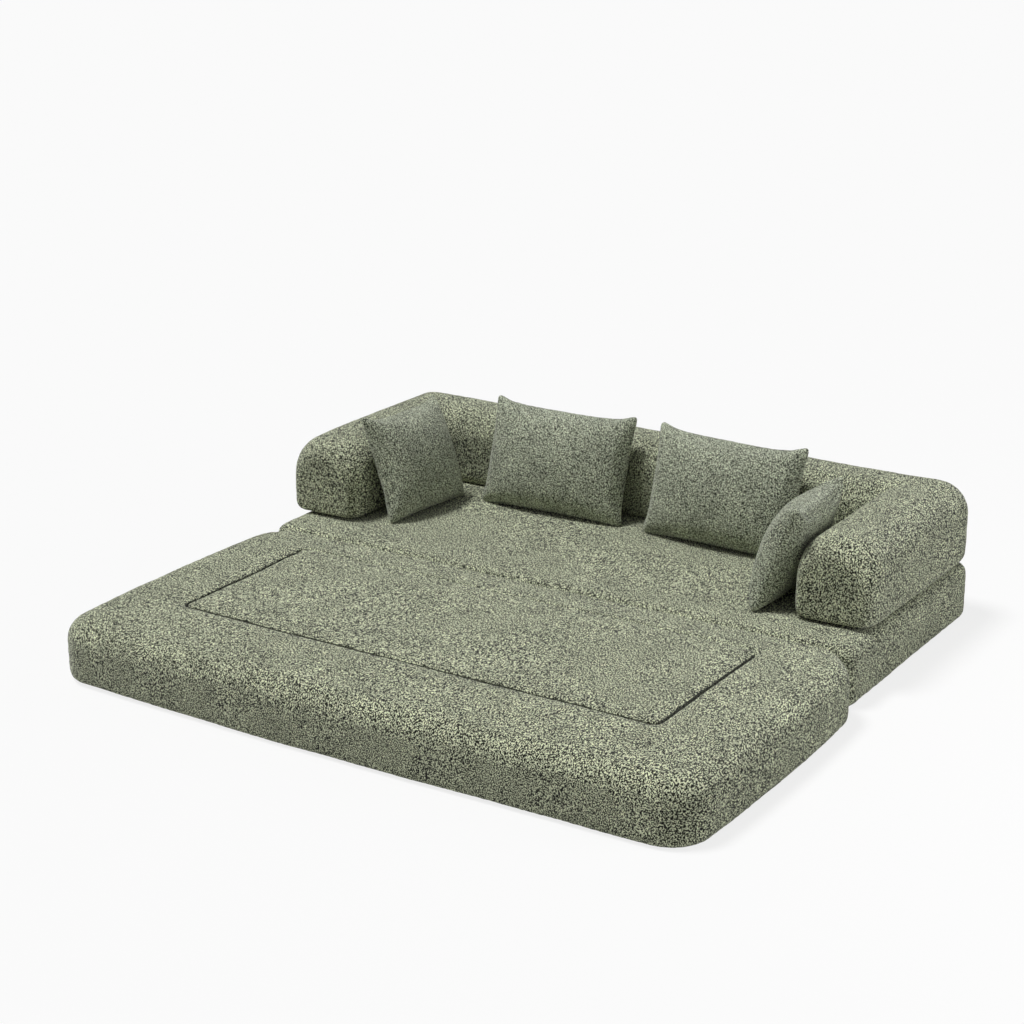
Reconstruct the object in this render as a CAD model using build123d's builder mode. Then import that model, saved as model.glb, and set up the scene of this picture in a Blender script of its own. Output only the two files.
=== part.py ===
"""Modular sofa bed: a base mattress, a fold-out pad, a loose U-shaped bolster and four loose pillows.

Millimetres, +Z up. The origin is on the floor, under the middle of the whole object's outline.
+X runs along the sofa's width and +Y from the fold-out pad towards the back.
"""

import os
from math import cos, radians, sin, sqrt

from build123d import *

# Base mattress, a crisp foam block in a fitted cover
base_width = 2120
base_depth = 925
base_height = 190
base_corner = 42
base_top_round = 42
base_bottom_bevel = 14
base_layer_height = 118

# Fold-out pad, softer and fuller, a little wider than the base and off centre as it lies in use
pad_overhang = 64
pad_width = base_width + pad_overhang
pad_depth = 1060
pad_height = 192
pad_shift = 12
pad_corner = 118
pad_edge_round = 64
pad_bottom_bevel = 13
pad_crown = 10
pad_layer_height = 112

# Quilted panel on top of the pad, pulled down by one closed line of stitching
quilt_front_margin = 297
quilt_left_margin = 271
quilt_right_margin = 269
quilt_rear_margin = 146
quilt_corner = 42
channel_foot_width = 4
channel_depth = 14
channel_slope = 50

# U-shaped bolster that makes both arms and the back
bolster_overhang = 27
bolster_width = base_width + bolster_overhang
bolster_shift = -20
bolster_setback = 145
bolster_depth = 825
bolster_height = 262
bolster_thick = 268
bolster_corner = 104
bolster_top_round = 104
bolster_bottom_bevel = 17
arm_cap_length = 92
arm_cap_drop = 72
arm_cap_side = 30
arm_cap_lift = 14

# Covers, bottom cloths and fits
cover_thick = 8
bottom_cloth_thick = 2
bottom_hem = 62
foam_fit = 0.4
rest_gap = 0.3
hinge_cloth_thick = 1.2
hinge_cloth_height = 64
hinge_cloth_foot = 72
hinge_cloth_margin = 110

# Zip of a mattress or bolster cover, and the share of these sizes that a pillow's zip has
zip_slot_width = 12
zip_tape_thick = 2.4
zip_coil_width = 5
zip_coil_thick = 2
zip_play = 0.4
zip_height = 45
zip_end_margin = 300
slider_length = 13
slider_width = 10
slider_plate = 1.4
slider_end_gap = 6
pull_length = 24
pull_width = 6
pull_chamfer = 1.8
pull_thick = 1.2
fine_zip_share = 0.5

# Pillows, two oblong and two square, each with drawn-in edges and pointed ears
oblong_width = 540
square_width = 374
pillow_height = 370
pillow_front_crown = 94
pillow_back_crown = 52
pillow_crest_share = 1.06
pillow_front_taper = 38
pillow_back_taper = 50
pillow_edge = 9
pillow_cloth = 2.5
pillow_top_dip = 27
pillow_side_draw = 13
pillow_zip_margin = 90
insert_foot = 10

# Where each pillow stands, from the base's middle or back from the arm's front, and its turn and lean
left_oblong_along = -325
right_oblong_along = 306
left_square_along = 255
right_square_along = 173
left_oblong_turn = 1.3
right_oblong_turn = -1.2
left_square_turn = -5.6
right_square_turn = 3.1
oblong_lean = 17.5
left_square_lean = 20.5
right_square_lean = 20.5

# Creases across a pillow's insert, in shares of its width or height, with the share of the crown
insert_crease_shares = (0, 0.17, 0.33, 0.5, 0.67, 0.83, 1)
insert_crown_shares = (0, 0.56, 0.89, 1, 0.89, 0.56, 0)

# Stations along an arm's padded front end, in lengths of that end
cap_station_shares = (0, 0.06, 0.22, 0.52, 1)

# Shares of the way in from the pad's edge to its middle, with the share of the crown reached there
pad_crown_station_shares = (0.17, 0.3, 0.55)
pad_crown_shares = (0, 0.7, 1)

# Bevel on a foam's edge, as a share of the round that the cover has over it
foam_bevel_share = 0.8

# One cut runs this far past what it cuts
overrun = 5

# How far the whole object reaches from the base's middle and from the fold seam
seam_gap = hinge_cloth_thick + rest_gap
reach_left = max(base_width / 2, bolster_width / 2 - bolster_shift, pad_width / 2 - pad_shift)
reach_right = max(base_width / 2, bolster_width / 2 + bolster_shift, pad_width / 2 + pad_shift)
reach_front = pad_depth + seam_gap
reach_rear = max(base_depth, bolster_setback + bolster_depth)

# Places in the frame that is centred on that outline
middle_x = (reach_left - reach_right) / 2
seam_y = (reach_front - reach_rear) / 2
base_middle_y = seam_y + base_depth / 2
pad_middle_x = middle_x + pad_shift
pad_rear_y = seam_y - seam_gap
pad_middle_y = pad_rear_y - pad_depth / 2
bolster_x = middle_x + bolster_shift
bolster_front_y = seam_y + bolster_setback
bolster_rear_y = bolster_front_y + bolster_depth
bolster_inner_x = bolster_width / 2 - bolster_thick
bolster_inner_y = bolster_rear_y - bolster_thick
bolster_foot = base_height + rest_gap
bolster_top = bolster_foot + bolster_height

# A rounded top edge is no larger than the upright corner it runs round
base_shoulder = min(base_top_round, base_corner)
bolster_shoulder = min(bolster_top_round, bolster_corner)


def block_form(width, depth, foot, height, middle, corner, edge_cut, top_size, bottom_bevel):
    """A block with rounded upright corners, a top edge cut by fillet or chamfer and a bevelled bottom edge."""
    with BuildPart() as form:
        with BuildSketch(Plane.XY.offset(foot)):
            with Locations(middle):
                RectangleRounded(width, depth, corner)
        extrude(amount=height)
        edge_cut(form.faces().sort_by(Axis.Z)[-1].edges(), top_size)
        chamfer(form.faces().sort_by(Axis.Z)[0].edges(), bottom_bevel)
    return form.part


def base_form(inset, foot, edge_cut, edge_share):
    """The base mattress, drawn in by inset and standing at foot, with its top edge's cut and that cut's share."""
    return block_form(
        base_width - 2 * inset,
        base_depth - 2 * inset,
        foot,
        base_height - inset - foot,
        (middle_x, base_middle_y),
        base_corner - inset,
        edge_cut,
        (base_shoulder - inset) * edge_share,
        base_bottom_bevel,
    )


def pad_form(inset, foot, edge_cut, edge_share):
    """The fold-out pad, full at its edges, with its crown and the stitched channel of its quilted panel."""
    top = pad_height - inset
    body = block_form(
        pad_width - 2 * inset,
        pad_depth - 2 * inset,
        foot,
        top - foot,
        (pad_middle_x, pad_middle_y),
        pad_corner - inset,
        edge_cut,
        (pad_edge_round - inset) * edge_share,
        pad_bottom_bevel,
    )
    quilt_left = pad_middle_x - pad_width / 2 + quilt_left_margin
    quilt_right = pad_middle_x + pad_width / 2 - quilt_right_margin
    quilt_front = pad_rear_y - pad_depth + quilt_front_margin
    quilt_rear = pad_rear_y - quilt_rear_margin
    quilt_middle = ((quilt_left + quilt_right) / 2, (quilt_front + quilt_rear) / 2)
    quilt_width = quilt_right - quilt_left
    quilt_depth = quilt_rear - quilt_front
    channel_foot = pad_height + pad_crown - channel_depth - inset / sin(radians(channel_slope))
    channel_rise = pad_height + pad_crown + overrun - channel_foot
    half_foot = channel_foot_width / 2
    with BuildPart() as form:
        for station_share, crown_share in zip(pad_crown_station_shares, pad_crown_shares):
            drawn_in = pad_depth / 2 * station_share
            with BuildSketch(Plane.XY.offset(top + pad_crown * crown_share)):
                with Locations((pad_middle_x, pad_middle_y)):
                    Rectangle(pad_width - 2 * drawn_in, pad_depth - 2 * drawn_in)
        loft(ruled=True)
        add(body)
        with BuildSketch(Plane.XY.offset(channel_foot)):
            with Locations(quilt_middle):
                RectangleRounded(
                    quilt_width + channel_foot_width, quilt_depth + channel_foot_width, quilt_corner + half_foot
                )
                RectangleRounded(
                    quilt_width - channel_foot_width,
                    quilt_depth - channel_foot_width,
                    quilt_corner - half_foot,
                    mode=Mode.SUBTRACT,
                )
        extrude(amount=channel_rise, taper=-channel_slope, mode=Mode.SUBTRACT)
    return form.part


def bolster_outline(inset, front_y):
    """The corners of the bolster's plan, drawn in by inset, with the arms cut square at front_y."""
    outer_x = bolster_width / 2 - inset
    inner_x = bolster_inner_x + inset
    rear_y = bolster_rear_y - inset
    inner_y = bolster_inner_y + inset
    return [
        (bolster_x - outer_x, front_y),
        (bolster_x - outer_x, rear_y),
        (bolster_x + outer_x, rear_y),
        (bolster_x + outer_x, front_y),
        (bolster_x + inner_x, front_y),
        (bolster_x + inner_x, inner_y),
        (bolster_x - inner_x, inner_y),
        (bolster_x - inner_x, front_y),
    ]


def bolster_form(inset, foot, edge_cut, edge_share):
    """The bolster, with its top edge's cut and that cut's share, rounded rear corners and padded arm fronts."""
    top = bolster_top - inset
    half_thick = bolster_thick / 2 - inset
    arm_middle = (bolster_width - bolster_thick) / 2
    top_size = (bolster_shoulder - inset) * edge_share
    with BuildPart() as form:
        with BuildSketch(Plane.XY.offset(foot)):
            with BuildLine():
                Polyline(*bolster_outline(inset, bolster_front_y + arm_cap_length), close=True)
            make_face()
        extrude(amount=top - foot)
        fillet(form.edges().filter_by(Axis.Z).group_by(Axis.Y)[-1], bolster_corner - inset)
        for face_rank, rim_cut, rim_size in ((-1, edge_cut, top_size), (0, chamfer, bolster_bottom_bevel)):
            arm_fronts = form.faces().sort_by(Axis.Y)[:2]
            rim = form.faces().sort_by(Axis.Z)[face_rank].edges()
            rim_cut(rim - arm_fronts.edges(), rim_size)
        for side in (-1, 1):
            for station_share in cap_station_shares:
                slack = 1 - sqrt(1 - (1 - station_share) ** 2)
                cap_half = half_thick - arm_cap_side * slack
                cap_low = foot + arm_cap_lift * slack
                cap_high = top - arm_cap_drop * slack
                cap_scale = cap_half / half_thick
                station_y = bolster_front_y + inset + (arm_cap_length - inset) * station_share
                section = Plane(
                    origin=(bolster_x + side * arm_middle, station_y, 0), x_dir=(1, 0, 0), z_dir=(0, -1, 0)
                )
                with BuildSketch(section) as cap:
                    with Locations((0, (cap_low + cap_high) / 2)):
                        Rectangle(2 * cap_half, cap_high - cap_low)
                    edge_cut(cap.vertices().group_by(Axis.Y)[-1], top_size * cap_scale)
                    chamfer(cap.vertices().group_by(Axis.Y)[0], bolster_bottom_bevel * cap_scale)
            loft(ruled=True)
    return form.part


def pillow_place(back_turn, face_x, face_y, width, turn, lean):
    """The plane of a pillow that leans on the bolster's rounded shoulder, from a point on the bolster's face.

    back_turn is the heading of the bolster's face there, 0 for the back, 90 and -90 for the left and right arm.
    """
    back_rise = pillow_back_crown - pillow_edge / 2
    back_radius = ((width / 2) ** 2 + back_rise**2) / (2 * back_rise)
    reach = back_radius - (back_radius - pillow_back_crown) * cos(radians(turn))
    slope = radians(lean)
    foot = bolster_foot + pillow_edge / 2 * sin(slope)
    shoulder_height = bolster_top - bolster_shoulder - foot
    touch = bolster_shoulder + reach + rest_gap
    stand_off = (touch + shoulder_height * sin(slope)) / cos(slope) - bolster_shoulder
    face = Vector(0, 1, 0).rotate(Axis.Z, back_turn)
    along = Vector(1, 0, 0).rotate(Axis.Z, back_turn + turn)
    backward = Vector(0, 1, 0).rotate(Axis.Z, back_turn + turn)
    origin = Vector(face_x, face_y, foot) - face * stand_off
    return Plane(origin=origin, x_dir=along, z_dir=Vector(0, 0, sin(slope)) - backward * cos(slope))


def pillow_form(place, width):
    """A pillow with crowned faces, a dipped top edge, drawn-in sides and pointed ears."""
    half_width = width / 2
    half_edge = pillow_edge / 2
    half_height = pillow_height / 2
    waist = half_width - pillow_side_draw
    rear_place = Plane(origin=place.origin, x_dir=-place.x_dir, z_dir=-place.z_dir)
    across = Plane(origin=place.origin, x_dir=place.x_dir, z_dir=-place.y_dir)
    upward = Plane(origin=place.origin, x_dir=place.y_dir, z_dir=place.x_dir)
    with BuildPart() as form:
        for face_place, rise, taper in (
            (place.offset(-half_edge), pillow_edge, 0),
            (place.offset(half_edge), pillow_front_crown - half_edge, pillow_front_taper),
            (rear_place.offset(half_edge), pillow_back_crown - half_edge, pillow_back_taper),
        ):
            with BuildSketch(face_place):
                with BuildLine():
                    Line((-half_width, 0), (half_width, 0))
                    ThreePointArc((half_width, 0), (waist, half_height), (half_width, pillow_height))
                    ThreePointArc(
                        (half_width, pillow_height), (0, pillow_height - pillow_top_dip), (-half_width, pillow_height)
                    )
                    ThreePointArc((-half_width, pillow_height), (-waist, half_height), (-half_width, 0))
                make_face()
            extrude(amount=rise, taper=taper)
        for crown_place, start, end, crown_share in (
            (across, -half_width, half_width, 1),
            (upward, 0, pillow_height, pillow_crest_share),
        ):
            middle = (start + end) / 2
            front = pillow_front_crown * crown_share
            back = -pillow_back_crown * crown_share
            with BuildSketch(crown_place):
                with BuildLine():
                    ThreePointArc((start, half_edge), (middle, front), (end, half_edge))
                    Line((end, half_edge), (end, -half_edge))
                    ThreePointArc((end, -half_edge), (middle, back), (start, -half_edge))
                    Line((start, -half_edge), (start, half_edge))
                make_face()
            extrude(amount=width + pillow_height, both=True, mode=Mode.INTERSECT)
    return form.part


def insert_form(place, width, inset, foot):
    """The faceted insert of a pillow, or the room for it, drawn in by inset and standing at foot.

    It fills the pillow between its drawn-in edges and leaves the ears flat.
    """
    half_width = width / 2 - inset
    half_edge = pillow_edge / 2 - inset
    top = pillow_height - inset
    waist = half_width - pillow_side_draw
    rim = top - pillow_top_dip
    across = Plane(origin=place.origin, x_dir=place.x_dir, z_dir=-place.y_dir)
    upward = Plane(origin=place.origin, x_dir=place.y_dir, z_dir=place.x_dir)
    rear_place = Plane(origin=place.origin, x_dir=-place.x_dir, z_dir=-place.z_dir)
    creases = list(zip(insert_crease_shares, insert_crown_shares))
    front_rise = pillow_front_crown - pillow_edge / 2
    back_rise = pillow_back_crown - pillow_edge / 2
    with BuildPart() as form:
        for face_place, rise, taper in (
            (place.offset(-half_edge), 2 * half_edge, 0),
            (place.offset(half_edge), front_rise, pillow_front_taper),
            (rear_place.offset(half_edge), back_rise, pillow_back_taper),
        ):
            with BuildSketch(face_place):
                with Locations((0, (foot + rim) / 2)):
                    Rectangle(2 * waist, rim - foot)
            extrude(amount=rise, taper=taper)
        for crown_place, start, end, crest in (
            (across, -half_width, half_width, 1),
            (upward, foot, top, pillow_crest_share),
        ):
            span = end - start
            front = [(start + span * share, half_edge + front_rise * crest * crown) for share, crown in creases]
            back = [(start + span * share, -half_edge - back_rise * crest * crown) for share, crown in creases]
            with BuildSketch(crown_place):
                Polygon(*front, *reversed(back), align=None)
            extrude(amount=width + pillow_height, both=True, mode=Mode.INTERSECT)
    return form.part


def zip_slot(place, length, share):
    """The slot in a cover that a zip lies in, with place on the cover's face at the zip's middle."""
    depth = cover_thick * share
    with BuildPart() as slot:
        with BuildSketch(place.offset(-depth)):
            Rectangle(length, zip_slot_width * share)
        extrude(amount=depth + overrun)
    return slot.part


def zip_strip(place, length, share):
    """The zip's tape with its coil along the middle."""
    play = zip_play * share
    tape_foot = -cover_thick * share
    coil_foot = tape_foot + zip_tape_thick * share
    with BuildPart() as strip:
        with BuildSketch(place.offset(tape_foot)):
            Rectangle(length - 2 * play, zip_slot_width * share - 2 * play)
        extrude(amount=zip_tape_thick * share)
        with BuildSketch(place.offset(coil_foot)):
            Rectangle(length - 2 * play, zip_coil_width * share)
        extrude(amount=zip_coil_thick * share)
    return strip.part


def zip_slider(place, length, share):
    """The zip's slider astride the coil at the closed end, with its pull laid along the zip."""
    play = zip_play * share
    tape_top = (zip_tape_thick - cover_thick) * share
    coil_top = tape_top + zip_coil_thick * share
    body_foot = tape_top + play
    body_top = coil_top + play + slider_plate * share
    body_start = -length / 2 + slider_end_gap * share
    body_middle = body_start + slider_length * share / 2
    with BuildPart() as slider:
        with BuildSketch(place.offset(body_foot)):
            with Locations((body_middle, 0)):
                Rectangle(slider_length * share, slider_width * share)
        extrude(amount=body_top - body_foot)
        with BuildSketch(place.offset(body_foot)):
            with Locations((body_middle, 0)):
                Rectangle(slider_length * share + 2 * overrun, zip_coil_width * share + 2 * play)
        extrude(amount=coil_top + play - body_foot, mode=Mode.SUBTRACT)
        with BuildSketch(place.offset(body_top)) as slider_pull:
            with Locations((body_middle + pull_length * share / 2, 0)):
                Rectangle(pull_length * share, pull_width * share)
            chamfer(slider_pull.vertices(), pull_chamfer * share)
        extrude(amount=pull_thick * share)
    return slider.part


# Base mattress
base_outer = base_form(0, 0, fillet, 1)
base_cavity = base_form(cover_thick, bottom_cloth_thick, chamfer, foam_bevel_share)
base_foam = base_form(cover_thick + foam_fit, bottom_cloth_thick + foam_fit, chamfer, foam_bevel_share)
base_zip_length = base_width - 2 * zip_end_margin
base_zip_place = Plane(
    origin=(middle_x, seam_y + base_depth, zip_height), x_dir=(-1, 0, 0), z_dir=(0, 1, 0)
)
base_slot = zip_slot(base_zip_place, base_zip_length, 1)
base_strip = zip_strip(base_zip_place, base_zip_length, 1)
base_slider = zip_slider(base_zip_place, base_zip_length, 1)

with BuildPart() as base_bottom_cloth:
    with BuildSketch():
        with Locations((middle_x, base_middle_y)):
            RectangleRounded(base_width - 2 * bottom_hem, base_depth - 2 * bottom_hem, base_corner)
    extrude(amount=bottom_cloth_thick)

with BuildPart() as base_cover:
    add(base_outer)
    add(base_cavity, mode=Mode.SUBTRACT)
    add(base_bottom_cloth.part, mode=Mode.SUBTRACT)
    add(base_slot, mode=Mode.SUBTRACT)

with BuildPart() as base_core_foam:
    add(base_foam)
    split(bisect_by=Plane.XY.offset(base_layer_height), keep=Keep.BOTTOM)

with BuildPart() as base_top_foam:
    add(base_foam)
    split(bisect_by=Plane.XY.offset(base_layer_height), keep=Keep.TOP)

with BuildPart() as base_zip:
    add(base_strip)

with BuildPart() as base_zip_slider:
    add(base_slider)

# Cloth that joins the pad to the base, sewn along the base's front under the seam
with BuildPart() as fold_hinge_cloth:
    with BuildSketch(Plane.XY.offset(hinge_cloth_foot)):
        with Locations((middle_x, seam_y - hinge_cloth_thick / 2)):
            Rectangle(base_width - 2 * hinge_cloth_margin, hinge_cloth_thick)
    extrude(amount=hinge_cloth_height)

# Fold-out pad
pad_outer = pad_form(0, 0, fillet, 1)
pad_cavity = pad_form(cover_thick, bottom_cloth_thick, chamfer, foam_bevel_share)
pad_foam = pad_form(cover_thick + foam_fit, bottom_cloth_thick + foam_fit, chamfer, foam_bevel_share)
pad_zip_length = pad_width - 2 * zip_end_margin
pad_zip_place = Plane(
    origin=(pad_middle_x, pad_rear_y, zip_height), x_dir=(-1, 0, 0), z_dir=(0, 1, 0)
)
pad_slot = zip_slot(pad_zip_place, pad_zip_length, 1)
pad_strip = zip_strip(pad_zip_place, pad_zip_length, 1)
pad_slider = zip_slider(pad_zip_place, pad_zip_length, 1)

with BuildPart() as pad_bottom_cloth:
    with BuildSketch():
        with Locations((pad_middle_x, pad_middle_y)):
            RectangleRounded(pad_width - 2 * bottom_hem, pad_depth - 2 * bottom_hem, pad_corner)
    extrude(amount=bottom_cloth_thick)

with BuildPart() as pad_cover:
    add(pad_outer)
    add(pad_cavity, mode=Mode.SUBTRACT)
    add(pad_bottom_cloth.part, mode=Mode.SUBTRACT)
    add(pad_slot, mode=Mode.SUBTRACT)

with BuildPart() as pad_core_foam:
    add(pad_foam)
    split(bisect_by=Plane.XY.offset(pad_layer_height), keep=Keep.BOTTOM)

with BuildPart() as pad_top_foam:
    add(pad_foam)
    split(bisect_by=Plane.XY.offset(pad_layer_height), keep=Keep.TOP)

with BuildPart() as pad_zip:
    add(pad_strip)

with BuildPart() as pad_zip_slider:
    add(pad_slider)

# Bolster, whose foam is cut on the mitre into two arms and a back
bolster_outer = bolster_form(0, bolster_foot, fillet, 1)
bolster_cavity = bolster_form(
    cover_thick, bolster_foot + bottom_cloth_thick, chamfer, foam_bevel_share
)
bolster_foam = bolster_form(
    cover_thick + foam_fit, bolster_foot + bottom_cloth_thick + foam_fit, chamfer, foam_bevel_share
)
left_mitre = Plane(origin=(bolster_x - bolster_inner_x, bolster_inner_y, 0), z_dir=(1, 1, 0))
right_mitre = Plane(origin=(bolster_x + bolster_inner_x, bolster_inner_y, 0), z_dir=(-1, 1, 0))
bolster_zip_length = bolster_width - 2 * zip_end_margin
bolster_zip_place = Plane(
    origin=(bolster_x, bolster_rear_y, bolster_foot + zip_height), x_dir=(-1, 0, 0), z_dir=(0, 1, 0)
)
bolster_slot = zip_slot(bolster_zip_place, bolster_zip_length, 1)
bolster_strip = zip_strip(bolster_zip_place, bolster_zip_length, 1)
bolster_slider = zip_slider(bolster_zip_place, bolster_zip_length, 1)

with BuildPart() as bolster_bottom_cloth:
    with BuildSketch(Plane.XY.offset(bolster_foot)):
        with BuildLine():
            Polyline(*bolster_outline(bottom_hem, bolster_front_y + arm_cap_length), close=True)
        make_face()
    extrude(amount=bottom_cloth_thick)

with BuildPart() as bolster_cover:
    add(bolster_outer)
    add(bolster_cavity, mode=Mode.SUBTRACT)
    add(bolster_bottom_cloth.part, mode=Mode.SUBTRACT)
    add(bolster_slot, mode=Mode.SUBTRACT)

with BuildPart() as bolster_left_foam:
    add(bolster_foam)
    split(bisect_by=left_mitre, keep=Keep.BOTTOM)

with BuildPart() as bolster_right_foam:
    add(bolster_foam)
    split(bisect_by=right_mitre, keep=Keep.BOTTOM)

with BuildPart() as bolster_back_foam:
    add(bolster_foam)
    split(bisect_by=left_mitre, keep=Keep.TOP)
    split(bisect_by=right_mitre, keep=Keep.TOP)

with BuildPart() as bolster_zip:
    add(bolster_strip)

with BuildPart() as bolster_zip_slider:
    add(bolster_slider)

pieces = {
    "base_cover": base_cover,
    "base_bottom_cloth": base_bottom_cloth,
    "base_core_foam": base_core_foam,
    "base_top_foam": base_top_foam,
    "base_zip": base_zip,
    "base_zip_slider": base_zip_slider,
    "fold_hinge_cloth": fold_hinge_cloth,
    "pad_cover": pad_cover,
    "pad_bottom_cloth": pad_bottom_cloth,
    "pad_core_foam": pad_core_foam,
    "pad_top_foam": pad_top_foam,
    "pad_zip": pad_zip,
    "pad_zip_slider": pad_zip_slider,
    "bolster_cover": bolster_cover,
    "bolster_bottom_cloth": bolster_bottom_cloth,
    "bolster_left_foam": bolster_left_foam,
    "bolster_right_foam": bolster_right_foam,
    "bolster_back_foam": bolster_back_foam,
    "bolster_zip": bolster_zip,
    "bolster_zip_slider": bolster_zip_slider,
}

# Pillows, each with the plane it stands on and its width
left_arm_x = bolster_x - bolster_inner_x
right_arm_x = bolster_x + bolster_inner_x
left_square_y = bolster_front_y + left_square_along
right_square_y = bolster_front_y + right_square_along
pillows = {
    "left_oblong": (
        pillow_place(
            0, middle_x + left_oblong_along, bolster_inner_y, oblong_width, left_oblong_turn, oblong_lean
        ),
        oblong_width,
    ),
    "right_oblong": (
        pillow_place(
            0, middle_x + right_oblong_along, bolster_inner_y, oblong_width, right_oblong_turn, oblong_lean
        ),
        oblong_width,
    ),
    "left_square": (
        pillow_place(90, left_arm_x, left_square_y, square_width, left_square_turn, left_square_lean),
        square_width,
    ),
    "right_square": (
        pillow_place(-90, right_arm_x, right_square_y, square_width, right_square_turn, right_square_lean),
        square_width,
    ),
}
for name, (place, width) in pillows.items():
    outer = pillow_form(place, width)
    cavity = insert_form(place, width, pillow_cloth, insert_foot)
    filling = insert_form(place, width, pillow_cloth + foam_fit, insert_foot + foam_fit)
    zip_length = width - 2 * pillow_zip_margin
    zip_place = Plane(origin=place.origin, x_dir=place.x_dir, z_dir=-place.y_dir)
    slot = zip_slot(zip_place, zip_length, fine_zip_share)
    strip = zip_strip(zip_place, zip_length, fine_zip_share)
    slider = zip_slider(zip_place, zip_length, fine_zip_share)
    with BuildPart() as pillow_cover:
        add(outer)
        add(cavity, mode=Mode.SUBTRACT)
        add(slot, mode=Mode.SUBTRACT)
    with BuildPart() as pillow_insert:
        add(filling)
    with BuildPart() as pillow_zip:
        add(strip)
    with BuildPart() as pillow_zip_slider:
        add(slider)
    pieces[f"{name}_pillow_cover"] = pillow_cover
    pieces[f"{name}_pillow_insert"] = pillow_insert
    pieces[f"{name}_pillow_zip"] = pillow_zip
    pieces[f"{name}_pillow_slider"] = pillow_zip_slider

os.makedirs("parts", exist_ok=True)
for name, piece in pieces.items():
    piece.part.label = name
    export_step(piece.part, f"parts/{name}.step")
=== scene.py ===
"""Modular sofa bed in sage boucle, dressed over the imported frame. Metres, +Z up, in the CAD's frame."""
import math

import bmesh
import bpy
import numpy as np
from mathutils import Matrix, Vector, noise


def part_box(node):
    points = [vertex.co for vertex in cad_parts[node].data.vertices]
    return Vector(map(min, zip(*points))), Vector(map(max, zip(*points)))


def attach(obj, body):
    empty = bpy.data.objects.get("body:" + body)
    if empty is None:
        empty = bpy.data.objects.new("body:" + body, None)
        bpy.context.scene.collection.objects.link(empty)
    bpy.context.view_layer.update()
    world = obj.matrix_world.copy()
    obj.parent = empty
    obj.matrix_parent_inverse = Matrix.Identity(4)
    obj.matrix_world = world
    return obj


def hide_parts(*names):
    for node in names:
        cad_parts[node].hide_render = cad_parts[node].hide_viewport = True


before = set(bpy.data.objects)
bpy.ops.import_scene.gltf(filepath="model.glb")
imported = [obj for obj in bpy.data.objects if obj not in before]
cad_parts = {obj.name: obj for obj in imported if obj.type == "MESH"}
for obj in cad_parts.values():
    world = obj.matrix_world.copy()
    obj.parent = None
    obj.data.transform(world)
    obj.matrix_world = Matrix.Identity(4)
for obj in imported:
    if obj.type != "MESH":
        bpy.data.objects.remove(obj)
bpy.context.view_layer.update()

base_low, base_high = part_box("base_cover")
pad_low, pad_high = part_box("pad_cover")
bolster_low, bolster_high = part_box("bolster_cover")

# Rounded edges of the base, pad and bolster
base_corner = 0.042
base_top_round = 0.040
base_bottom_round = 0.02
base_front_round = 0.030
pad_corner = 0.112
pad_edge_round = 0.066
pad_rear_round = 0.024
pad_bottom_round = 0.026
bolster_corner = 0.104
bolster_top_round = 0.104
bolster_bottom_round = 0.028

# Thickness of the bolster, and how its arms narrow towards their padded front ends
bolster_thick = 0.268
arm_cap_length = 0.092
arm_cap_drop = 0.058
arm_cap_side = 0.030
arm_cap_lift = 0.012

# Crown of the pad, and how the pad bows outwards between its corners
pad_crown = 0.010
pad_crown_station_shares = (0.08, 0.2, 0.32, 0.55)
pad_crown_shares = (0, 0.45, 0.8, 1)
pad_corner_draw = 0.010
pad_side_bow = 0.018
pad_front_bow = 0.020
pad_top = pad_high.z - pad_crown
pad_middle = (pad_low + pad_high) / 2
pad_half_x = (pad_high.x - pad_low.x) / 2
pad_half_y = (pad_high.y - pad_low.y) / 2

# Stitched rectangle on the pad, whose groove fades towards the rear
quilt_left_margin = 0.271
quilt_right_margin = 0.269
quilt_front_margin = 0.297
quilt_rear_margin = 0.146
quilt_corner = 0.030
quilt_low = np.array((pad_low.x + quilt_left_margin, pad_low.y + quilt_front_margin))
quilt_high = np.array((pad_high.x - quilt_right_margin, pad_high.y - quilt_rear_margin))
stitch_depth = 0.018
stitch_half_width = 0.0048
# Half width of the painted shade along the stitches
stitch_shade_half_width = 0.0058
stitch_sharp_share = 0.6
stitch_rear_share = 0.3
stitch_rear_fade = 0.05
stitch_fine_reaches = (0.020, 0.009)
shoulder_half_width = 0.024

# Pillows. Each faces forward, or inwards from an arm at 90 or -90 degrees, and leans on the bolster.
pillow_height = 0.370
oblong_width = 0.540
square_width = 0.374
pillow_front = 0.094
pillow_back = 0.052
pillow_rim = 0.0045
rest_gap = 0.0003
pillow_side_draw = 0.013
pillow_top_dip = 0.024
pillow_foot_draw = 0.002
pillow_fullness = 0.56
ear_power = 14
ear_draw = 0.005
pillows = {
    "left_oblong": {"face": 0, "along": -0.325, "turn": 1.3, "lean": 17.5, "width": oblong_width},
    "right_oblong": {"face": 0, "along": 0.306, "turn": -1.2, "lean": 17.5, "width": oblong_width},
    "left_square": {"face": 90, "along": 0.255, "turn": -5.6, "lean": 20.5, "width": square_width},
    "right_square": {"face": -90, "along": 0.173, "turn": 3.1, "lean": 20.5, "width": square_width},
}

# Filling of the pillows, and how far it may move a point
pillow_spacing = 0.010
pillow_start_share = 0.94
pillow_pressure = 4
pillow_frames = 16
pillow_cap = 0.012
pillow_pile = 0.003
least_length = 1e-9

# Clearances over the bottom cloths and around the zips
underside_clearance = 0.0006
zip_margin = 0.003
zip_clearance = 0.0006

# Fineness of the meshes
arc_steps = 10
least_corner = 0.002
voxel = 0.012
relax_rounds = 3
relax_share = 0.5

# Swells and ripples of cloth over foam, and the nubs of its pile
swell_length = 0.34
ripple_length = 0.11
ripple_share = 0.35
nub_height = 0.0011
nub_size = 0.017
base_swell = 0.0022
pad_swell = 0.0035
bolster_swell = 0.004
pillow_swell = 0.0025

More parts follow.
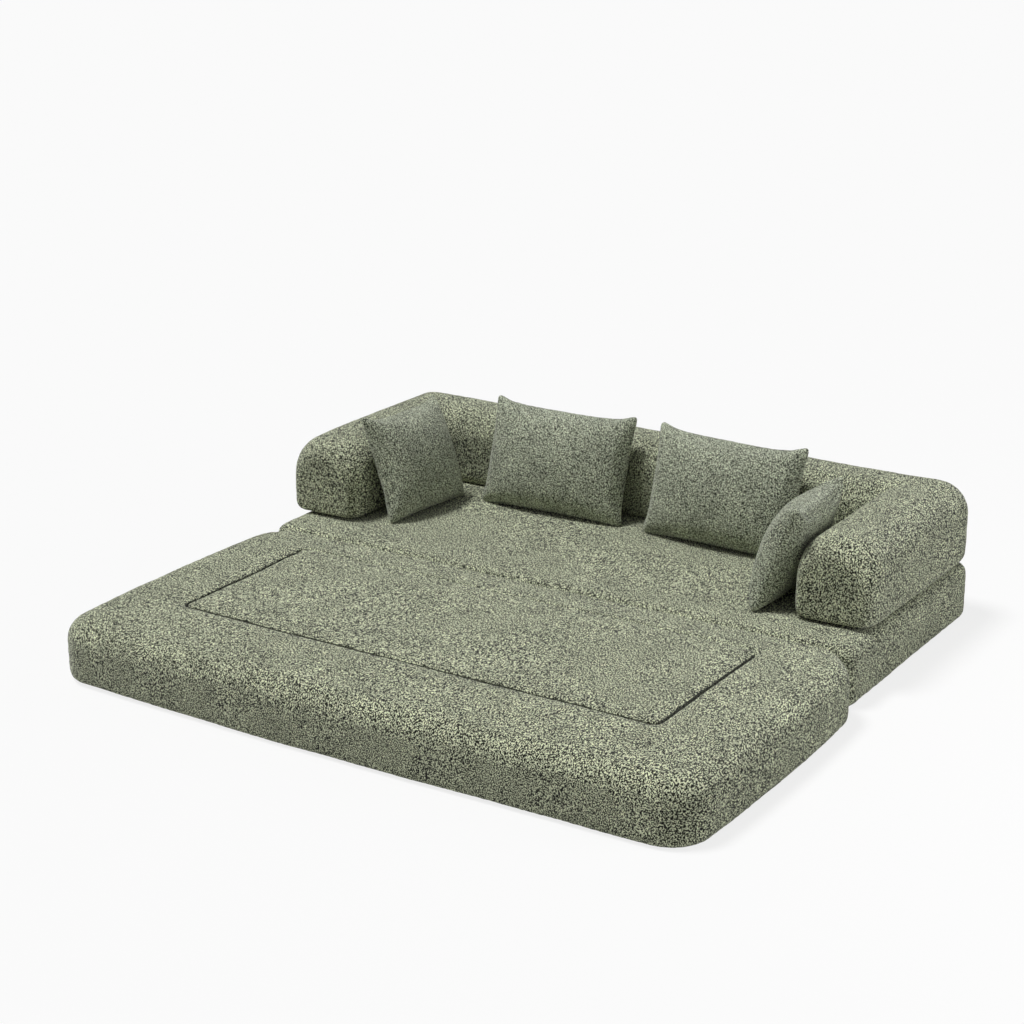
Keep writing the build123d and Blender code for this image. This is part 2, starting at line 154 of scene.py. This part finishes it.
# Each piece has a stretch of noise of its own, set by its seed
seed_shift = (7.31, 3.17, 5.93)
base_seed = 1
pad_seed = 4
bolster_seed = 8
first_pillow_seed = 20
seeds_per_pillow = 3


def quarter_turn(start=0):
    """The angles of a quarter turn in even steps from start, which is in degrees."""
    return [math.radians(start + 90 * step / arc_steps) for step in range(arc_steps + 1)]


def rounded_outline(low, high, corner, inset):
    """Points of a rounded rectangle drawn in by inset, the same count for every inset."""
    radius = max(corner - inset, least_corner)
    x0, x1 = low[0] + inset + radius, high[0] - inset - radius
    y0, y1 = low[1] + inset + radius, high[1] - inset - radius
    points = []
    for centre_x, centre_y, start in ((x1, y1, 0), (x0, y1, 90), (x0, y0, 180), (x1, y0, 270)):
        for angle in quarter_turn(start):
            points.append((centre_x + radius * math.cos(angle), centre_y + radius * math.sin(angle)))
    return points


def shell_of_rings(rings):
    """A closed bmesh through rings of points, with its two end rings filled."""
    bm = bmesh.new()
    layers = [[bm.verts.new(point) for point in ring] for ring in rings]
    for lower, upper in zip(layers, layers[1:]):
        for index in range(len(lower)):
            after = (index + 1) % len(lower)
            bm.faces.new((lower[index], lower[after], upper[after], upper[index]))
    bm.faces.new(list(reversed(layers[0])))
    bm.faces.new(layers[-1])
    bmesh.ops.recalc_face_normals(bm, faces=bm.faces)
    return bm


def block_shell(low, high, corner, top_round, bottom_round):
    """A block with rounded upright corners and rounded top and bottom edges."""
    profile = []
    for angle in quarter_turn():
        inset = bottom_round * (1 - math.sin(angle))
        profile.append((inset, low[2] + bottom_round * (1 - math.cos(angle))))
    for angle in quarter_turn():
        inset = top_round * (1 - math.cos(angle))
        profile.append((inset, high[2] - top_round * (1 - math.sin(angle))))
    rings = []
    for inset, z in profile:
        rings.append([(x, y, z) for x, y in rounded_outline(low, high, corner, inset)])
    return shell_of_rings(rings)


def arm_shell(side):
    """One arm of the bolster, from its padded front end to the start of the rear corner."""
    outer_x = bolster_high.x if side > 0 else bolster_low.x
    middle = outer_x - side * bolster_thick / 2
    shares = [1 - math.cos(angle) for angle in quarter_turn()]
    stations = [(arm_cap_length * share, share) for share in shares]
    stations.append((bolster_high.y - bolster_corner - bolster_low.y, 1))
    rings = []
    for depth, share in stations:
        slack = 1 - math.sqrt(1 - (1 - share) ** 2)
        half = bolster_thick / 2 - arm_cap_side * slack
        foot = bolster_low.z + arm_cap_lift * slack
        top = bolster_high.z - arm_cap_drop * slack
        ring = []
        for centre_sign, radius, centre_z, start in (
            (1, bolster_top_round, top - bolster_top_round, 0),
            (-1, bolster_top_round, top - bolster_top_round, 90),
            (-1, bolster_bottom_round, foot + bolster_bottom_round, 180),
            (1, bolster_bottom_round, foot + bolster_bottom_round, 270),
        ):
            for angle in quarter_turn(start):
                x = middle + centre_sign * (half - radius) + radius * math.cos(angle)
                ring.append((x, bolster_low.y + depth, centre_z + radius * math.sin(angle)))
        rings.append(ring)
    return shell_of_rings(rings)


def bolster_shell():
    """The back and both arms of the bolster, as closed forms that run into each other."""
    back_low = (bolster_low.x, bolster_high.y - bolster_thick, bolster_low.z)
    bm = block_shell(back_low, bolster_high, bolster_corner, bolster_top_round, bolster_bottom_round)
    for side in (-1, 1):
        arm = arm_shell(side)
        mesh = bpy.data.meshes.new("arm")
        arm.to_mesh(mesh)
        arm.free()
        bm.from_mesh(mesh)
        bpy.data.meshes.remove(mesh)
    return bm


def add_object(name, data):
    """Puts an object with this data in the scene."""
    thing = bpy.data.objects.new(name, data)
    bpy.context.scene.collection.objects.link(thing)
    return thing


def new_piece(name, bm):
    """Turns a bmesh into an object of the scene."""
    mesh = bpy.data.meshes.new(name)
    bm.to_mesh(mesh)
    bm.free()
    return add_object(name, mesh)


def apply_modifiers(piece):
    """Keeps the evaluated mesh and drops the modifiers."""
    graph = bpy.context.evaluated_depsgraph_get()
    mesh = bpy.data.meshes.new_from_object(piece.evaluated_get(graph))
    old = piece.data
    piece.modifiers.clear()
    piece.data = mesh
    bpy.data.meshes.remove(old)


def remesh(piece):
    """Even quads over a closed piece, with the voxel steps smoothed off."""
    modifier = piece.modifiers.new("even", "REMESH")
    modifier.mode = "VOXEL"
    modifier.voxel_size = voxel
    relax = piece.modifiers.new("relax", "SMOOTH")
    relax.factor = relax_share
    relax.iterations = relax_rounds
    apply_modifiers(piece)


def subdivide(piece):
    """One level of Catmull-Clark subdivision."""
    modifier = piece.modifiers.new("fine", "SUBSURF")
    modifier.levels = 1
    modifier.render_levels = 1
    apply_modifiers(piece)


def read_vertices(mesh, kind):
    """The places (co) or the normals (normal) of a mesh's vertices, one in each row."""
    values = np.empty(len(mesh.vertices) * 3)
    mesh.vertices.foreach_get(kind, values)
    return values.reshape(-1, 3)


def shape(piece, rule):
    """Moves every vertex to where rule(points, normals) puts it."""
    mesh = piece.data
    moved = rule(read_vertices(mesh, "co"), read_vertices(mesh, "normal"))
    mesh.vertices.foreach_set("co", moved.ravel())
    mesh.update()


def smooth_shading(piece):
    """Shades all faces of a piece as one smooth surface."""
    piece.data.polygons.foreach_set("use_smooth", [True] * len(piece.data.polygons))
    piece.data.update()


def waves(points, wavelength, seed):
    """Smooth noise from -1 to 1 at each point."""
    offset = Vector([seed * part for part in seed_shift])
    return np.array([noise.noise(Vector(point) / wavelength + offset) for point in points])


def soften(points, normals, swell, seed):
    """The slight swells and hollows of cloth over foam, and the nubs of its pile."""
    height = swell * waves(points, swell_length, seed)
    height += ripple_share * swell * waves(points, ripple_length, seed + 1)
    height += nub_height * waves(points, nub_size, seed + 2)
    return points + normals * height[:, None]


def sharpen_edge(points, low_z, high_z, old_round, new_round, way_in):
    """Heights of the points once a wide rounded top edge is narrow, as where two blocks press together.

    way_in is how far each point lies from that edge, seen from above.
    """
    arc = np.clip(old_round - way_in, 0, old_round)
    old_top = high_z - old_round + np.sqrt(old_round**2 - arc**2)
    new_arc = np.clip(new_round - way_in, 0, new_round)
    new_top = high_z - new_round + np.sqrt(new_round**2 - new_arc**2)
    middle = (low_z + high_z) / 2
    share = np.clip((points[:, 2] - middle) / (old_top - middle), 0, 1)
    return points[:, 2] + (new_top - old_top) * share


def settle(points, low_z, bottom_cloth):
    """Flattens the underside at low_z, and keeps it just above the bottom cloth that closes it."""
    cloth_low, cloth_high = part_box(bottom_cloth)
    inner = cloth_high.z + underside_clearance
    within = np.all((points[:, :2] > cloth_low[:2]) & (points[:, :2] < cloth_high[:2]), axis=1)
    points[:, 2] = np.maximum(points[:, 2], np.where(within, inner, low_z))
    return points


def recess_zip(points, zip_node):
    """Draws the rear side in behind a zip, so that its tape and slider lie open in the pile."""
    zip_low, zip_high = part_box(zip_node)
    across = points[:, (0, 2)]
    low = np.array((zip_low.x, zip_low.z)) - zip_margin
    high = np.array((zip_high.x, zip_high.z)) + zip_margin
    behind = np.all((across > low) & (across < high), axis=1) & (points[:, 1] > zip_low.y - zip_margin)
    points[behind, 1] = np.minimum(points[behind, 1], zip_low.y - zip_clearance)
    return points


def shape_base(points, normals):
    """Narrows the front edge for the seam, and adds softness, the flat underside and the zip's bed."""
    way_in = points[:, 1] - base_low.y
    points = points.copy()
    points[:, 2] = sharpen_edge(points, base_low.z, base_high.z, base_top_round, base_front_round, way_in)
    moved = soften(points, normals, base_swell, base_seed)
    return recess_zip(settle(moved, base_low.z, "base_bottom_cloth"), "base_zip")


def on_pad_top(points):
    """True for points on the upper side of the pad and its rounded edge."""
    return points[:, 2] > pad_top - pad_edge_round


def stitch_distance(points):
    """Distance of each point from the stitched rectangle, seen from above."""
    middle = (quilt_low + quilt_high) / 2
    half = (quilt_high - quilt_low) / 2 - quilt_corner
    beyond = np.abs(points[:, :2] - middle) - half
    outside = np.hypot(*np.maximum(beyond, 0).T)
    inside = np.minimum(np.max(beyond, axis=1), 0)
    return np.abs(outside + inside - quilt_corner)


def crown_share(points):
    """Share of the pad's crown reached at each point, by its distance from the nearest edge."""
    edge_x = pad_half_x - np.abs(points[:, 0] - pad_middle.x)
    edge_y = pad_half_y - np.abs(points[:, 1] - pad_middle.y)
    way_in = np.clip(np.minimum(edge_x, edge_y) / pad_half_y, 0, 1)
    return np.interp(way_in, pad_crown_station_shares, pad_crown_shares)


def shape_pad(points, normals):
    """Narrows the rear edge for the seam, bows the sides outwards and crowns the top."""
    moved = points.copy()
    way_in = pad_high.y - points[:, 1]
    moved[:, 2] = sharpen_edge(points, pad_low.z, pad_top, pad_edge_round, pad_rear_round, way_in)
    u = (points[:, 0] - pad_middle.x) / pad_half_x
    v = (points[:, 1] - pad_middle.y) / pad_half_y
    moved[:, 0] += u * (pad_side_bow * (1 - v**2) - pad_corner_draw)
    front = np.clip(-v, 0, 1)
    moved[:, 1] -= pad_front_bow * front * (1 - u**2)
    moved[:, 2] += pad_crown * crown_share(points) * on_pad_top(points)
    return moved


def refine_stitch(piece):
    """Cuts the faces near the stitched rectangle finer, step by step towards its line."""
    bm = bmesh.new()
    bm.from_mesh(piece.data)
    for reach in stitch_fine_reaches:
        places = np.array([vert.co for vert in bm.verts])
        near = (stitch_distance(places) < reach) & on_pad_top(places)
        edges = [edge for edge in bm.edges if near[edge.verts[0].index] and near[edge.verts[1].index]]
        bmesh.ops.subdivide_edges(bm, edges=edges, cuts=1, use_grid_fill=True)
        bm.verts.index_update()
    bm.to_mesh(piece.data)
    bm.free()


def stitch_pad(points, normals):
    """Sinks the stitched groove and its shoulders, and adds softness, the underside and the zip's bed."""
    moved = soften(points, normals, pad_swell, pad_seed)
    distance = stitch_distance(points)
    sharp = np.exp(-((distance / stitch_half_width) ** 2))
    shoulder = np.exp(-distance / shoulder_half_width)
    groove = stitch_sharp_share * sharp + (1 - stitch_sharp_share) * shoulder
    rearward = np.clip((points[:, 1] - quilt_high[1]) / stitch_rear_fade + 1, 0, 1)
    rear_share = 1 - (1 - stitch_rear_share) * rearward
    moved[:, 2] -= stitch_depth * groove * rear_share * on_pad_top(points)
    return recess_zip(settle(moved, pad_low.z, "pad_bottom_cloth"), "pad_zip")


def shape_bolster(points, normals):
    """Adds softness, the flat underside and the zip's bed."""
    moved = soften(points, normals, bolster_swell, bolster_seed)
    return recess_zip(settle(moved, bolster_low.z, "bolster_bottom_cloth"), "bolster_zip")


# Base mattress
base_shell = block_shell(base_low, base_high, base_corner, base_top_round, base_bottom_round)
base = new_piece("base_mattress", base_shell)
remesh(base)
subdivide(base)
shape(base, shape_base)

# Fold-out pad, crowned and stitched after it is shelled with a flat top
pad_flat_high = (pad_high.x, pad_high.y, pad_top)
pad_shell = block_shell(pad_low, pad_flat_high, pad_corner, pad_edge_round, pad_bottom_round)
pad = new_piece("fold_out_pad", pad_shell)
remesh(pad)
shape(pad, shape_pad)
subdivide(pad)
refine_stitch(pad)
shape(pad, stitch_pad)

# U-shaped bolster
bolster = new_piece("u_bolster", bolster_shell())
remesh(bolster)
subdivide(bolster)
shape(bolster, shape_bolster)


def pillow_frame(facts):
    """A pillow's origin at its foot, and its axes: along its width, up its slope, and out of its front."""
    lean = math.radians(facts["lean"])
    face = Matrix.Rotation(math.radians(facts["face"]), 3, "Z") @ Vector((0, 1, 0))
    turned = Matrix.Rotation(math.radians(facts["face"] + facts["turn"]), 3, "Z")
    along = turned @ Vector((1, 0, 0))
    backward = turned @ Vector((0, 1, 0))
    foot = bolster_low.z + pillow_rim * math.sin(lean)
    shoulder = bolster_high.z - bolster_top_round - foot
    back_rise = pillow_back - pillow_rim
    back_radius = ((facts["width"] / 2) ** 2 + back_rise**2) / (2 * back_rise)
    reach = back_radius - (back_radius - pillow_back) * math.cos(math.radians(facts["turn"]))
    touch = bolster_top_round + reach + rest_gap
    stand_off = (touch + shoulder * math.sin(lean)) / math.cos(lean) - bolster_top_round
    if facts["face"]:
        side = -1 if facts["face"] > 0 else 1
        outer = bolster_low.x if side < 0 else bolster_high.x
        on_face = Vector((outer - side * bolster_thick, bolster_low.y + facts["along"], 0))
    else:
        middle = (base_low.x + base_high.x) / 2
        on_face = Vector((middle + facts["along"], bolster_high.y - bolster_thick, 0))
    origin = on_face - face * stand_off + Vector((0, 0, foot))
    up_slope = Vector((0, 0, math.cos(lean))) + backward * math.sin(lean)
    front = Vector((0, 0, math.sin(lean))) - backward * math.cos(lean)
    return origin, along, up_slope, front


def pillow_mesh(width):
    """A closed pillow of two crowned layers with drawn-in edges and blunt ears."""
    bm = bmesh.new()
    columns, rows = round(width / pillow_spacing), round(pillow_height / pillow_spacing)
    verts = {}
    for layer, crown in ((-1, pillow_back), (1, pillow_front)):
        for i in range(columns + 1):
            for j in range(rows + 1):
                rim = i in (0, columns) or j in (0, rows)
                if rim and layer == 1:
                    verts[layer, i, j] = verts[-1, i, j]
                    continue
                u, v = 2 * i / columns - 1, 2 * j / rows - 1
                blunt = max(1, (abs(u) ** ear_power + abs(v) ** ear_power) ** (1 / ear_power))
                u, v = u / blunt, v / blunt
                dip = pillow_top_dip if v > 0 else pillow_foot_draw
                x = u * (width / 2 - pillow_side_draw * (1 - v**4))
                y = v * (pillow_height / 2 - dip * (1 - u**4))
                rise = 0 if rim else ((1 - u**2) * (1 - v**2)) ** pillow_fullness
                verts[layer, i, j] = bm.verts.new((x, y, layer * crown * pillow_start_share * rise))
        for i in range(columns):
            for j in range(rows):
                around = ((i, j), (i + 1, j), (i + 1, j + 1), (i, j + 1))
                corners = [verts[(layer, *place)] for place in around]
                bm.faces.new(corners if layer == 1 else list(reversed(corners)))
    return bm


def inflate(piece):
    """Fills a closed cloth with air and keeps its shape, with a cap on how far each point moves."""
    before = read_vertices(piece.data, "co")
    cloth = piece.modifiers.new("cloth", "CLOTH")
    settings = cloth.settings
    settings.quality = 6
    settings.mass = 0.3
    settings.tension_stiffness = 18
    settings.compression_stiffness = 6
    settings.shear_stiffness = 5
    settings.bending_stiffness = 2.5
    settings.use_pressure = True
    settings.uniform_pressure_force = pillow_pressure
    settings.effector_weights.gravity = 0
    settings.air_damping = 3
    cloth.point_cache.frame_start = 1
    cloth.point_cache.frame_end = pillow_frames
    for number in range(1, pillow_frames + 1):
        bpy.context.scene.frame_set(number)
    apply_modifiers(piece)
    bpy.context.scene.frame_set(1)

    def cap(points, normals):
        step = points - before
        length = np.linalg.norm(step, axis=1, keepdims=True)
        return before + step * np.minimum(1, pillow_cap / np.maximum(length, least_length))

    shape(piece, cap)


def fit_pillow(points, facts):
    """Sizes a filled pillow to its place, and stands it on the base against the bolster."""
    corner = points[np.argmax(points[:, 0] + points[:, 1])]
    reach_x, reach_y = facts["width"] / 2 - ear_draw, pillow_height / 2 - ear_draw
    moved = points * np.array((reach_x / corner[0], reach_y / corner[1], 1))
    z = moved[:, 2]
    moved[:, 2] = np.where(z > 0, z * pillow_front / z.max(), z * pillow_back / -z.min())
    moved[:, 1] += pillow_height / 2
    origin, along, up_slope, front = pillow_frame(facts)
    return (
        np.array(origin)
        + moved[:, :1] * np.array(along)
        + moved[:, 1:2] * np.array(up_slope)
        + moved[:, 2:3] * np.array(front)
    )


def open_foot(points, name):
    """Draws a pillow's lower edge in above its zip, and leaves the slider room to run."""
    origin, *axes = pillow_frame(pillows[name])
    axes = np.array(axes)
    fittings = [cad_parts[f"{name}_pillow_{part}"] for part in ("zip", "slider")]
    corners = np.array([vertex.co for fitting in fittings for vertex in fitting.data.vertices])
    local_corners = (corners - np.array(origin)) @ axes.T
    low, high = local_corners.min(axis=0) - zip_margin, local_corners.max(axis=0) + zip_margin
    local = (points - np.array(origin)) @ axes.T
    over = np.all((local[:, (0, 2)] > low[[0, 2]]) & (local[:, (0, 2)] < high[[0, 2]]), axis=1)
    bed = high[1] - zip_margin + zip_clearance
    local[over, 1] = np.maximum(local[over, 1], bed)
    return np.array(origin) + local @ axes


def build_pillow(name, facts, seed):
    """Sews and fills a pillow, stands it in its place, and adds its pile and the zip's bed."""
    piece = new_piece(f"{name}_pillow", pillow_mesh(facts["width"]))
    inflate(piece)

    def add_pile(points, normals):
        return soften(points, normals, pillow_swell, seed) + normals * pillow_pile

    shape(piece, lambda points, normals: fit_pillow(points, facts))
    subdivide(piece)
    shape(piece, add_pile)
    shape(piece, lambda points, normals: open_foot(points, name))
    return piece


# Pillows
pillow_pieces = {}
for number, (name, facts) in enumerate(pillows.items()):
    pillow_pieces[name] = build_pillow(name, facts, first_pillow_seed + seeds_per_pillow * number)

# Shares of the noise at which a fleck is dark, middle and light, and a grain dark and light
fleck_stop_shares = (0.475, 0.51, 0.56)
grain_stop_shares = (0.35, 0.65)
grain_dark_share = 0.86
curl_scale_share = 0.8


def empty_tree(holder):
    """Gives a material or a world a node tree with nothing in it."""
    holder.use_nodes = True
    holder.node_tree.nodes.clear()
    return holder.node_tree


def node_of(tree, kind, **inputs):
    """Adds a shader node and sets its inputs by name."""
    node = tree.nodes.new(kind)
    for key, value in inputs.items():
        node.inputs[key.replace("_", " ")].default_value = value
    return node


def texture_of(tree, kind, place, **inputs):
    """Adds a texture node that reads its place from a socket."""
    texture = node_of(tree, kind, **inputs)
    tree.links.new(place, texture.inputs["Vector"])
    return texture


def ramp_of(tree, factor, stops, colours):
    """Turns a factor into a colour, by two or more rising stops and their colours."""
    ramp = tree.nodes.new("ShaderNodeValToRGB")
    elements = ramp.color_ramp.elements
    for element, end in ((elements[0], 0), (elements[1], -1)):
        element.position = stops[end]
        element.color = (*colours[end], 1)
    for stop, colour in zip(stops[1:-1], colours[1:-1]):
        elements.new(stop).color = (*colour, 1)
    tree.links.new(factor, ramp.inputs["Fac"])
    return ramp.outputs["Color"]


def finish_surface(tree, shader, colour, height, bump, bump_distance):
    """Links a colour and a relief to the shader, and the shader to the material's output."""
    relief = node_of(tree, "ShaderNodeBump", Strength=bump, Distance=bump_distance)
    output = tree.nodes.new("ShaderNodeOutputMaterial")
    tree.links.new(height, relief.inputs["Height"])
    tree.links.new(relief.outputs["Normal"], shader.inputs["Normal"])
    tree.links.new(colour, shader.inputs["Base Color"])
    tree.links.new(shader.outputs["BSDF"], output.inputs["Surface"])


def boucle(name, dark, middle, light, fleck_scale, pile_stretch, bump):
    """Short curly pile: light and dark flecks over a mid green, in soft patches of light and shade."""
    material = bpy.data.materials.new(name)
    tree = empty_tree(material)
    link = tree.links.new
    place = tree.nodes.new("ShaderNodeTexCoord").outputs["Object"]
    stretch = node_of(tree, "ShaderNodeMapping", Scale=(1, *pile_stretch))
    link(place, stretch.inputs["Vector"])
    along_pile = stretch.outputs["Vector"]

    fleck = texture_of(
        tree, "ShaderNodeTexNoise", along_pile, Scale=fleck_scale, Detail=1.0, Roughness=0.5, Distortion=0.3
    )
    curl = texture_of(tree, "ShaderNodeTexVoronoi", along_pile, Scale=fleck_scale * curl_scale_share)
    patch = texture_of(tree, "ShaderNodeTexNoise", place, Scale=9.0, Detail=3.0, Roughness=0.55)
    colour = ramp_of(tree, fleck.outputs["Fac"], fleck_stop_shares, (dark, middle, light))

    shade = node_of(tree, "ShaderNodeMapRange", From_Min=0.3, From_Max=0.7, To_Min=0.86, To_Max=1.12)
    link(patch.outputs["Fac"], shade.inputs["Value"])
    tint = tree.nodes.new("ShaderNodeVectorMath")
    tint.operation = "SCALE"
    link(colour, tint.inputs[0])
    link(shade.outputs["Result"], tint.inputs["Scale"])

    pile = tree.nodes.new("ShaderNodeMath")
    pile.operation = "SUBTRACT"
    link(fleck.outputs["Fac"], pile.inputs[0])
    link(curl.outputs["Distance"], pile.inputs[1])

    shader = node_of(
        tree,
        "ShaderNodeBsdfPrincipled",
        Roughness=0.95,
        Specular_IOR_Level=0.15,
        Sheen_Weight=0.18,
        Sheen_Roughness=0.6,
    )
    finish_surface(tree, shader, tint.outputs["Vector"], pile.outputs["Value"], bump, bump_distance=0.002)
    return material


def plain_grain(name, colour, scale, roughness, bump, metallic=0.0):
    """A plain stuff with a fine grain in its colour and surface: foam, lining, tape or metal."""
    material = bpy.data.materials.new(name)
    tree = empty_tree(material)
    place = tree.nodes.new("ShaderNodeTexCoord").outputs["Object"]
    grain = texture_of(tree, "ShaderNodeTexNoise", place, Scale=scale, Detail=3.0).outputs["Fac"]
    darker = tuple(grain_dark_share * part for part in colour)
    tint = ramp_of(tree, grain, grain_stop_shares, (darker, colour))
    shader = node_of(tree, "ShaderNodeBsdfPrincipled", Roughness=roughness, Metallic=metallic)
    finish_surface(tree, shader, tint, grain, bump, bump_distance=0.001)
    return material


# Boucle, whose pile lies along the depth of the sofa on top and hangs down its sides
wide_pile = (0.5, 0.85)
cover_cloth = boucle(
    "boucle_cover",
    dark=(0.003, 0.004, 0.001),
    middle=(0.12, 0.133, 0.085),
    light=(0.80, 0.85, 0.60),
    fleck_scale=330,
    pile_stretch=wide_pile,
    bump=0.45,
)
# Pillow boucle: the covers' fabric with a finer, rounder pile, its lighter tone painted light on the
# pillows
painted_light_pillow_cloth = boucle(
    "boucle_pillow_painted_light",
    dark=(0.008, 0.010, 0.006),
    middle=(0.19, 0.21, 0.148),
    light=(0.80, 0.86, 0.655),
    fleck_scale=400,
    pile_stretch=(0.8, 0.8),
    bump=0.4,
)
# A darker copy of the cover boucle: painted shade for the stitched groove
painted_stitch_shade_cloth = boucle(
    "boucle_stitch_painted_shade",
    dark=(0.006, 0.008, 0.004),
    middle=(0.035, 0.039, 0.026),
    light=(0.13, 0.14, 0.10),
    fleck_scale=400,
    pile_stretch=wide_pile,
    bump=0.3,
)

# Plain stuffs, for the foams, linings and zips, which keep their CAD shape
firm_foam = plain_grain("firm_foam", (0.62, 0.60, 0.50), scale=420, roughness=0.95, bump=0.5)
soft_foam = plain_grain("soft_foam", (0.80, 0.79, 0.74), scale=520, roughness=0.95, bump=0.4)
lining = plain_grain("lining", (0.035, 0.036, 0.034), scale=900, roughness=0.9, bump=0.3)
zip_tape = plain_grain("zip_tape", (0.10, 0.115, 0.085), scale=1300, roughness=0.85, bump=0.4)
zip_metal = plain_grain("zip_metal", (0.36, 0.35, 0.32), scale=700, roughness=0.35, bump=0.05, metallic=1.0)
stuffs_by_ending = (
    (("_core_foam", "_left_foam", "_right_foam", "_back_foam"), firm_foam),
    (("_top_foam",), soft_foam),
    (("_cloth",), lining),
    (("_zip",), zip_tape),
    (("_slider",), zip_metal),
)
for node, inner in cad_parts.items():
    for endings, stuff in stuffs_by_ending:
        if node.endswith(endings):
            for material_slot in inner.material_slots:
                material_slot.material = stuff

# What each dressed piece is made of and rides on; the CAD parts it stands in for are hidden
for piece, body in ((base, "base"), (pad, "pad"), (bolster, "bolster")):
    smooth_shading(piece)
    piece.data.materials.append(cover_cloth)
    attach(piece, body)
    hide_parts(f"{body}_cover")
for name, piece in pillow_pieces.items():
    smooth_shading(piece)
    piece.data.materials.append(painted_light_pillow_cloth)
    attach(piece, f"{name}_pillow")
    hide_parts(f"{name}_pillow_cover", f"{name}_pillow_insert")

# Painted shade along the stitches: faces in the groove take the darker boucle, except along the rear
centres = np.array([polygon.center for polygon in pad.data.polygons])
painted_stitch_shade = stitch_distance(centres) < stitch_shade_half_width
painted_stitch_shade &= on_pad_top(centres) & (centres[:, 1] < quilt_high[1] - quilt_corner)
pad.data.materials.append(painted_stitch_shade_cloth)
pad.data.polygons.foreach_set("material_index", painted_stitch_shade.astype(int))


def seen_rays(tree):
    """1 for rays that show the background: straight to the camera, mirrored or through glass."""
    path = tree.nodes.new("ShaderNodeLightPath")
    total = path.outputs["Is Camera Ray"]
    for kind in ("Is Glossy Ray", "Is Transmission Ray"):
        either = tree.nodes.new("ShaderNodeMath")
        either.operation = "MAXIMUM"
        tree.links.new(total, either.inputs[0])
        tree.links.new(path.outputs[kind], either.inputs[1])
        total = either.outputs["Value"]
    return total


def finish_by_ray(tree, unseen, seen, output_kind):
    """Ends a tree in one shader for the rays that show the background, and in another for the rest."""
    mix = tree.nodes.new("ShaderNodeMixShader")
    output = tree.nodes.new(output_kind)
    tree.links.new(seen_rays(tree), mix.inputs["Fac"])
    tree.links.new(unseen, mix.inputs[1])
    tree.links.new(seen, mix.inputs[2])
    tree.links.new(mix.outputs["Shader"], output.inputs["Surface"])


def add_lamp(name, kind, energy, direction):
    """A lamp that shines along a direction."""
    data = bpy.data.lights.new(name, kind)
    data.energy = energy
    lamp = add_object(name, data)
    lamp.rotation_euler = Vector(direction).to_track_quat("-Z", "Y").to_euler()
    return lamp


# Floor, which shows white and keeps a soft shadow
floor_half = 60
floor_drop = 0.001
floor_signs = ((-1, -1), (1, -1), (1, 1), (-1, 1))
floor_mesh = bpy.data.meshes.new("floor")
floor_mesh.from_pydata([(x * floor_half, y * floor_half, 0) for x, y in floor_signs], [], [(0, 1, 2, 3)])
floor = add_object("floor", floor_mesh)
floor.location.z = -floor_drop
floor_material = bpy.data.materials.new("floor")
tree = empty_tree(floor_material)
bounce_floor = node_of(tree, "ShaderNodeBsdfDiffuse", Color=(0.55, 0.55, 0.54, 1))
seen_floor = node_of(tree, "ShaderNodeBsdfDiffuse", Color=(0.9, 0.9, 0.9, 1))
glow = node_of(tree, "ShaderNodeEmission", Color=(1, 1, 1, 1), Strength=1.0)
seen_mix = node_of(tree, "ShaderNodeMixShader", Fac=0.8)
tree.links.new(seen_floor.outputs["BSDF"], seen_mix.inputs[1])
tree.links.new(glow.outputs["Emission"], seen_mix.inputs[2])
finish_by_ray(tree, bounce_floor.outputs["BSDF"], seen_mix.outputs["Shader"], "ShaderNodeOutputMaterial")
floor_mesh.materials.append(floor_material)

# Sky, pale and even, and white where it is seen
world = bpy.data.worlds.new("sky")
bpy.context.scene.world = world
tree = empty_tree(world)
sky = node_of(tree, "ShaderNodeBackground", Color=(1, 1, 1, 1), Strength=0.18)
seen_sky = node_of(tree, "ShaderNodeBackground", Color=(1, 1, 1, 1), Strength=1.0)
finish_by_ray(tree, sky.outputs["Background"], seen_sky.outputs["Background"], "ShaderNodeOutputWorld")

# A large soft lamp high at the left, and a low near one at the right
key = add_lamp("soft_key", "SUN", energy=2.3, direction=(0.30, 0.19, -0.935))
key.data.angle = math.radians(17)
fill = add_lamp("soft_fill", "AREA", energy=24, direction=(-0.98, -0.05, -0.2))
fill.data.size = 1.6
fill.location = (3.8, 0.4, 0.9)
fill.visible_camera = False

# Camera, as in the photograph
camera_place = Vector((3.46443, -5.61882, 2.69861))
camera_azimuth = math.radians(32.2664)
camera_elevation = math.radians(18.8961)
camera_roll = math.radians(0.034)
camera_data = bpy.data.cameras.new("camera")
camera_data.lens = 79.63
camera_data.sensor_width = 36
camera_data.clip_end = 200
camera = add_object("camera", camera_data)
forward = Vector(
    (
        -math.sin(camera_azimuth) * math.cos(camera_elevation),
        math.cos(camera_azimuth) * math.cos(camera_elevation),
        -math.sin(camera_elevation),
    )
)
right = Vector((math.cos(camera_azimuth), math.sin(camera_azimuth), 0))
up = right.cross(forward)
facing = Matrix((right, up, -forward)).transposed().to_4x4()
camera.matrix_world = Matrix.Translation(camera_place) @ facing @ Matrix.Rotation(camera_roll, 4, "Z")
bpy.context.scene.camera = camera

bpy.context.scene.view_settings.view_transform = "Standard"
